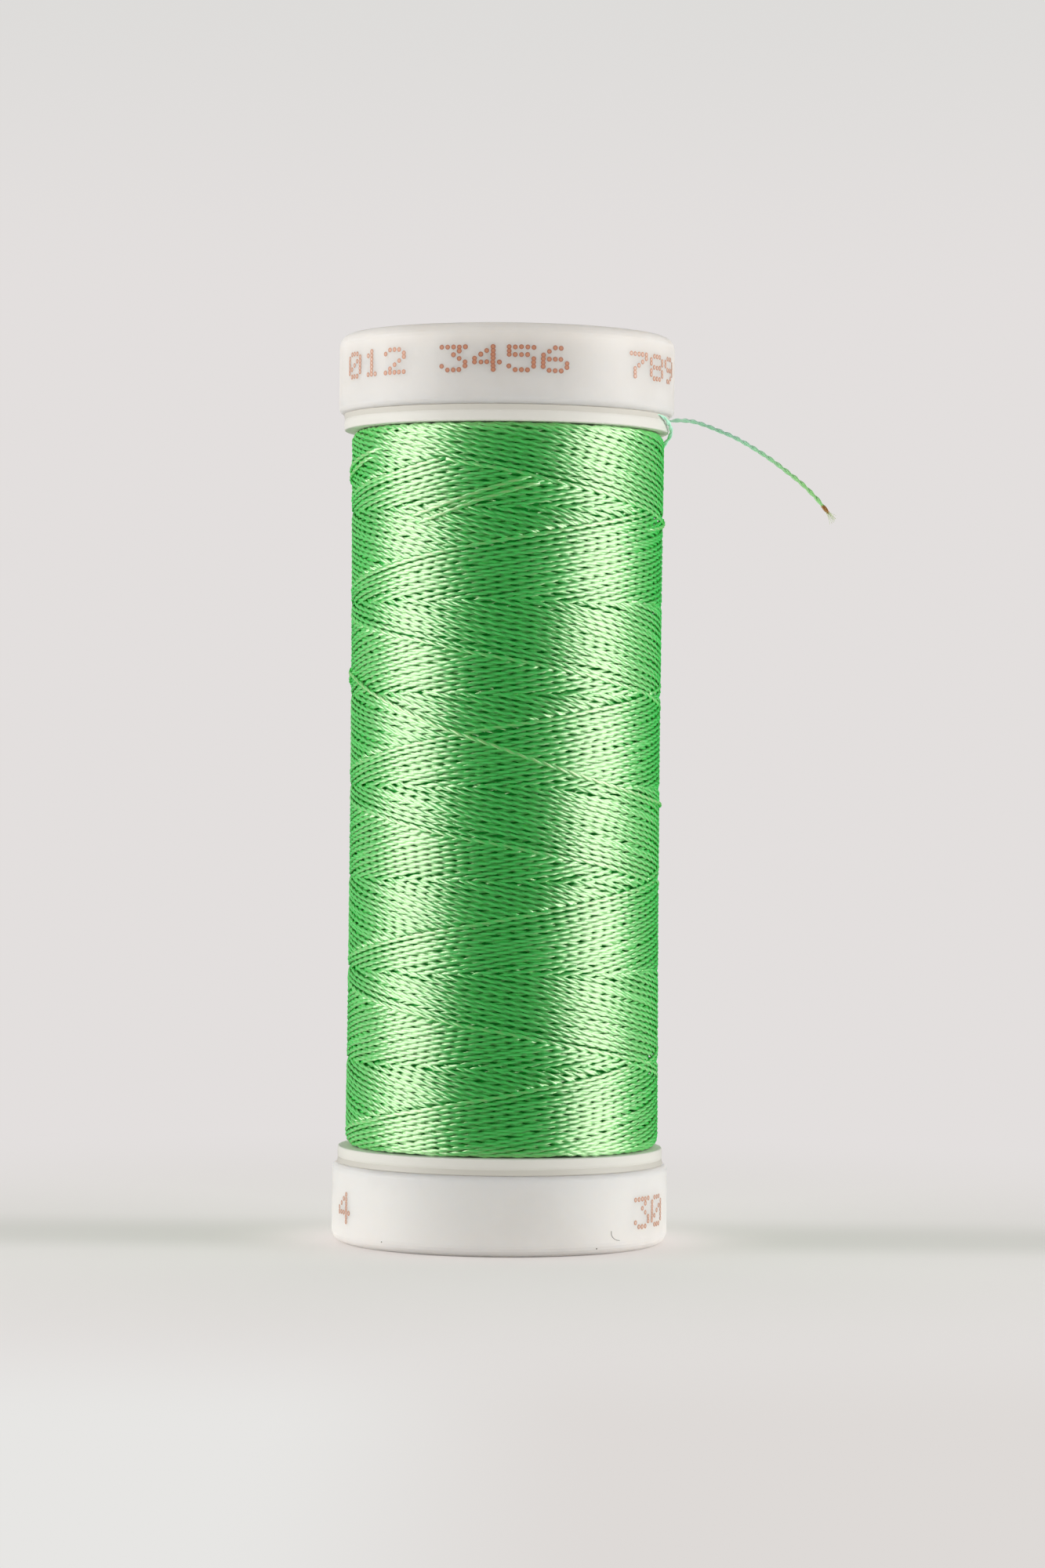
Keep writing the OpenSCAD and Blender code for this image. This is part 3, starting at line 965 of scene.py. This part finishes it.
# %% Strands to a mesh
def strand_mesh(name, strands, material, body="reel", longest=35 * MM):
    """strands: a list of (points, ply radius, how far the thread's middle is from the axis)."""
    curve = bpy.data.curves.new(name, "CURVE")
    curve.dimensions = "3D"
    curve.bevel_depth = 1.0
    curve.bevel_resolution = (SIDES - 4) // 2
    for points, radius, _ in strands:
        count = len(points)
        spline = curve.splines.new("POLY")
        spline.points.add(count - 1)
        spline.points.foreach_set("co", np.c_[points, np.ones(count)].astype(np.float32).ravel())
        spline.points.foreach_set("radius", np.broadcast_to(radius, count).astype(np.float32))
        spline.use_smooth = True
    maker = add_object(name + "_curve", curve)
    bpy.context.view_layer.update()
    mesh = bpy.data.meshes.new_from_object(maker)
    bpy.data.objects.remove(maker)
    bpy.data.curves.remove(curve)
    map_strands(mesh, strands, longest)
    write_crown(mesh, strands)
    close_ends(mesh)
    mesh.name = name
    mesh.materials.clear()
    mesh.materials.append(material)
    piece = add_object(name, mesh)
    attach(piece, body)
    print(piece.name, len(mesh.polygons), "faces")
    return piece


for strip, (plies, inner) in enumerate(zip(shown_strands, hidden_strands)):
    piece = strand_mesh(f"thread_band_{strip + 1}", plies, green_thread)
    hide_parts("thread_winding")
    press_flat(piece.data)
    piece = strand_mesh(f"thread_under_{strip + 1}", inner, green_thread)
    press_flat(piece.data)

# %% [markdown]
# ## Stray turns
# Now and then the tension slips and a turn jumps across its neighbours. A stray lies on top, at
# its own slope, and dives in at both ends. One more helix couldn't be steered, so a smooth
# line runs through a few points: degrees round the spool and millimetres up.

# %% A smooth line through points
def smooth_line(points, step):
    """Even samples of a smooth curve through the points; extra columns are carried along."""
    padded = np.vstack([2 * points[0] - points[1], points, 2 * points[-1] - points[-2]])
    dense = []
    for a, b, c, d in zip(padded, padded[1:], padded[2:], padded[3:]):
        for t in np.linspace(0, 1, 12, endpoint=False):
            squared, cubed = 2 * a - 5 * b + 4 * c - d, 3 * b - a - 3 * c + d
            dense.append(0.5 * (2 * b + (c - a) * t + squared * t**2 + cubed * t**3))
    dense = np.array(dense + [points[-1]])
    steps = np.linalg.norm(np.diff(dense[:, :3], axis=0), axis=1)
    run = np.concatenate([[0], np.cumsum(steps)])
    even = np.linspace(0, run[-1], int(run[-1] / step) + 1)
    return np.stack([np.interp(even, run, dense[:, i]) for i in range(dense.shape[1])], axis=1)


print("smooth_line ready")

# %% Stray turns
STRAY_LIFT = 0.15 * MM
STRAY_DIVE = 0.7 * MM
STRAY_DRIFT = 0.03 * MM
# Strays count as proud by this much, so they are painted the lighter green: painted light.
STRAY_PROUD = 0.10 * MM
STRAYS = [
    [(-104, 38.4), (-88, 37.95), (-71, 37.36), (-20, 34.1), (25, 31.36), (61, 29.86),
     (80, 29.4), (98, 29.1)],
    [(-116, 50.6), (-100, 51.0), (-78, 51.7), (-52, 52.6)],
    [(-120, 50.1), (-100, 50.5), (-78, 51.2), (-56, 52.1)],
    [(-40, 47.9), (-31, 48.2), (-12, 49.3), (3, 50.2), (12, 50.7)],
    [(-36, 47.5), (-26, 47.9), (-8, 49.0), (6, 49.8), (16, 50.3)],
    [(62, 47.3), (84, 47.9), (104, 48.7)],
    [(-112, 36.9), (-92, 37.3), (-74, 38.0)],
]
stray_plies = []
for stray in STRAYS:
    points = np.array([(math.radians(a) * PACK_RADIUS, z * MM, 0) for a, z in stray])
    line = smooth_line(points, STEP)
    angle, z = line[:, 0] / PACK_RADIUS, line[:, 1]
    run = np.arange(len(line)) * STEP
    from_end = np.minimum(run, run[-1] - run)
    rise = smooth((from_end - STRAY_DIVE) / STRAY_DIVE)
    z = z + wander(run, STRAY_DRIFT)
    radius = pack_radius(z, angle) + UNDER + (ON_TOP + STRAY_LIFT - UNDER) * rise
    centre, outward = round_axis(angle, radius, z)
    for path in twisted(centre, outward, wander_random.uniform(0, 2 * math.pi)):
        stray_plies.append((path, tapered(len(path), PLY_RADIUS), radius - STRAY_PROUD * rise))
strays = strand_mesh("thread_strays", stray_plies, green_thread)
press_flat(strays.data, STRAY_LIFT)

# %% [markdown]
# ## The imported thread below
# Under the two outer layers there is only more thread, of which nothing is seen. So one closed
# round solid, a little smaller than the package, keeps the dark of the gaps green. It is a
# profile spun round the axis.

# %% Packed thread
TUBE_RADIUS = 7.6 * MM
BACKING_DEPTH = 0.25 * MM
BACKING_GAP = 0.05 * MM
GRAIN = 2500.0
PACKED_DARK = (0.003, 0.50, 0.045)
PACKED_LIGHT = (0.006, 0.62, 0.060)
heights = np.linspace(PACK_LOW + BACKING_GAP, PACK_HIGH - BACKING_GAP, 49)
profile = [(TUBE_RADIUS, heights[-1]), (TUBE_RADIUS, heights[0])]
profile += [(pack_radius(z) - BACKING_DEPTH, z) for z in heights]

dark = new_material("packed_thread")
grain = dark.noise(dark.node("ShaderNodeTexCoord", out=3), GRAIN, 2.0)
packed_green = dark.mix(grain, PACKED_DARK, PACKED_LIGHT)
packed_finish = dark.surface(dark.principled({"Base Color": packed_green, "Roughness": 0.7}))
packed = spun("packed_thread", profile, packed_finish)
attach(packed, "reel")
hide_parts("thread_core")
print("packed thread:", len(packed.data.polygons), "faces")

# %% [markdown]
# ## The loose end
# The last turn climbs over the upper lip, is pinched under the cap, goes once round inside it
# and comes out beside where it went in. The free end bends down towards the viewer.
# A simulated cord would fall where it likes, so the route is given point by point, as the model
# has it: radius past the lip's edge, angle, height above the lip's outer face, and how round
# the thread is there. The free end's points are x past the lip, y and height.

# %% The loose end's route
LEAD_IN = [
    (-0.47, 12, -2.62, 1), (-0.46, 8, -2.36, 1), (-0.42, 4.5, -2.10, 1), (-0.36, 1.5, -1.84, 1),
    (-0.15, -1.2, -1.50, 1), (0.08, -3.8, -1.20, 1), (0.20, -7.5, -0.88, 1),
    (0.22, -11, -0.66, 1), (0.21, -14.5, -0.42, 1), (0.17, -17.5, -0.22, 0.8),
    (0.10, -20, -0.10, 0.6), (0.00, -22, -0.02, 0.4), (-0.15, -24.3, 0.017, 0.2),
    (-0.30, -26.5, 0.03, 0.15), (-0.60, -30, 0.03, 0.15), (-0.92, -33.5, 0.03, 0.15),
    (-1.25, -37, 0.09, 0.4), (-1.75, -40.5, 0.16, 0.9), (-2.20, -44.5, 0.18, 1),
]
WRAP = [(-2.45, -50 - 6.5 * ring, 0.18, 1) for ring in range(44)]
LEAD_OUT = [
    (-2.10, 24, 0.18, 1), (-1.60, 19.5, 0.15, 0.8), (-1.25, 16.4, 0.09, 0.4),
    (-0.92, 13.5, 0.03, 0.15), (-0.60, 11, 0.03, 0.15), (-0.30, 8.8, 0.03, 0.15),
    (-0.10, 7.3, 0.005, 0.22), (0.10, 6, -0.03, 0.45), (0.40, 4.6, -0.01, 0.8),
    (0.75, 3.2, 0.0, 1),
]
FREE_END = [
    (1.45, -0.35, -0.12), (2.05, -1.05, -0.33), (2.65, -1.75, -0.60), (3.25, -2.40, -0.90),
    (3.85, -3.10, -1.20), (4.40, -3.75, -1.52), (4.95, -4.40, -1.88), (5.50, -5.05, -2.27),
    (6.05, -5.70, -2.68), (6.60, -6.35, -3.12), (7.10, -6.95, -3.55), (7.60, -7.55, -4.00),
    (8.10, -8.15, -4.45), (8.55, -8.70, -4.90), (9.00, -9.20, -5.40), (9.45, -9.75, -5.95),
    (9.80, -10.20, -6.45), (10.02, -10.50, -6.76),
]
LOOSE_STEP = 0.16 * MM
route_points = []
for past, angle_deg, above, share in LEAD_IN + WRAP + LEAD_OUT:
    r, turn = LIP_RADIUS + past * MM, math.radians(angle_deg)
    route_points.append((r * math.cos(turn), r * math.sin(turn), LIP_TOP + above * MM, share))
for x, y, above in FREE_END:
    route_points.append((LIP_RADIUS + x * MM, y * MM, LIP_TOP + above * MM, 1))
loose_route = np.array(route_points)
loose_length = np.linalg.norm(np.diff(loose_route[:, :3], axis=0), axis=1).sum()
loose_line = smooth_line(loose_route, LOOSE_STEP)
loose_centre, roundness = loose_line[:, :3], loose_line[:, 3]
print("loose end:", len(loose_line), "points,", round(loose_length / MM, 1), "mm")

# %% [markdown]
# The loose end is the same two-ply thread. Off the package the light reaches it from all
# sides, so it is painted pale, greener and less pale towards its tip, which is painted light.
# At the very end it is singed brown. Where the cap pinches it the plies lie flat side by side,
# so their offset and thickness are pressed by the route's last value. Off the package no
# direction is outward, so the twist starts from a side that is carried along.

# %% The loose end's finish
# Painted light: the loose end is painted pale near the lip, greener and less pale towards the
# tip.
PALE = (0.42, 0.84, 0.62), (0.58, 0.92, 0.74)
TIP_LIT = (0.24, 0.64, 0.20), (0.44, 0.78, 0.34)
SINGED = (0.36, 0.16, 0.030)
STREAKED, TIP_LIT_FROM, SINGED_FROM = (0.35, 0.70), (0.84, 0.97), (0.9900, 0.9925)

loose = new_material("loose_thread")
streak = loose.ramp(streaks(loose, FILAMENT_SCALE, 2.0), *STREAKED)
to_tip, _, _ = loose.axes(loose.node("ShaderNodeUVMap", {"uv_map": PLY_UV}))
pale, tip_lit = loose.mix(streak, *PALE), loose.mix(streak, *TIP_LIT)
colour = loose.mix(loose.ramp(to_tip, *TIP_LIT_FROM), pale, tip_lit)
colour = loose.mix(loose.ramp(to_tip, *SINGED_FROM), colour, SINGED)
loose_thread = loose.surface(
    loose.principled({"Base Color": colour, "Roughness": 0.45, "IOR": 1.6})
)
print(loose_thread.name, "is singed from", SINGED_FROM[0], "of its length")


# %% Loose end
LOOSE_PLY_RADIUS = 0.086 * MM
LOOSE_PLY_OFFSET = 0.060 * MM


def carried_sides(centre):
    """A side direction for each point that never spins about the path."""
    along = np.gradient(centre, axis=0)
    along /= np.linalg.norm(along, axis=1)[:, None]
    side = np.cross(along[0], (0.31, 0.23, 0.92))
    sides = []
    for t in along:
        side = side - (side @ t) * t
        side = side / np.linalg.norm(side)
        sides.append(side)
    return np.array(sides)


loose_paths = []
for path in twisted(loose_centre, carried_sides(loose_centre), 0.6, LOOSE_PLY_OFFSET):
    away = path - loose_centre
    away[:, 2] *= roundness
    size = LOOSE_PLY_RADIUS * (0.25 + 0.75 * roundness)
    loose_paths.append((loose_centre + away, size, 0.0))
ply_length = np.linalg.norm(np.diff(loose_paths[0][0], axis=0), axis=1).sum()
loose_end = strand_mesh("loose_thread_end", loose_paths, loose_thread, longest=ply_length)
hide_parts("thread_tail")

# %% [markdown]
# The tip was torn off, so its filaments spread. A hair system could do it, but a few thin
# strands that leave the tip forwards and bend aside export as plain meshes. They are attached
# to the reel, as the loose end is.

# %% Frayed tip
FIBRES = 16
FIBRE_COLOUR = (0.62, 0.70, 0.42)
FIBRE_RADIUS = 0.011 * MM
FIBRE_REACH = (0.60 * MM, 1.20 * MM)
FIBRE_ROOT, FIBRE_ROOT_SPREAD, FIBRE_BEND = 0.25 * MM, 0.035 * MM, 0.10 * MM
fibre_random = np.random.default_rng(3)

tip = loose_centre[-1]
heading = tip - loose_centre[-4]
heading /= np.linalg.norm(heading)
t = np.linspace(0, 1, 7)[:, None]
fibres = []
for number in range(FIBRES):
    spread = fibre_random.normal(0, 1, 3)
    spread -= (spread @ heading) * heading
    reach = fibre_random.uniform(*FIBRE_REACH)
    start = tip - heading * FIBRE_ROOT + spread * FIBRE_ROOT_SPREAD
    path = start + heading * reach * t + spread * FIBRE_BEND * t**2
    fibres.append((path, FIBRE_RADIUS, 0.0))
frayed = plain_finish("frayed_fibres", FIBRE_COLOUR, roughness=0.5)
frayed_tip = strand_mesh("frayed_tip", fibres, frayed, longest=2 * MM)

# %% [markdown]
# ## Dust
# A few specks and a short hair sit on the caps' walls, as on anything that lies about in a
# sewing room. Painted ones would cast no shadow, so a speck is a small ball half sunk in the
# wall, and the hair is one more strand.

# %% Specks and a hair
CAP_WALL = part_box("top_cap")[1].x
TOP_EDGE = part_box("top_cap")[0].z
SPECKS = {
    "top": [(-31.9, TOP_EDGE + 0.10 * MM, 0.050), (18.6, TOP_EDGE + 0.08 * MM, 0.055)],
    "base": [(34.8, 0.48 * MM, 0.050), (-42.8, 0.68 * MM, 0.045)],
}
HAIR = [(41.0, 1.56), (41.1, 1.30), (42.0, 1.08), (43.4, 0.95), (44.9, 0.90)]
DUST_COLOUR = (0.17, 0.12, 0.09)
HAIR_RADIUS = 0.016 * MM
HAIR_STANDS_OFF = 0.01 * MM

dust = plain_finish("dust", DUST_COLOUR, roughness=0.9)
for body, specks in SPECKS.items():
    shape = bmesh.new()
    for angle_deg, z, size in specks:
        place = Matrix.Translation(on_circle(CAP_WALL, math.radians(angle_deg), z))
        bmesh.ops.create_icosphere(shape, subdivisions=1, radius=size * MM, matrix=place)
    piece = mesh_object(body + "_specks", shape, dust)
    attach(piece, body)
    print(piece.name, len(piece.data.polygons), "faces")

hair_wall = CAP_WALL + HAIR_STANDS_OFF
hair_points = [on_circle(hair_wall, math.radians(a), z * MM) for a, z in HAIR]
hair_line = smooth_line(np.array(hair_points), 0.05 * MM)
hair_strand = (hair_line, HAIR_RADIUS, 0.0)
strand_mesh("base_hair", [hair_strand], dust, body="base", longest=2 * MM)
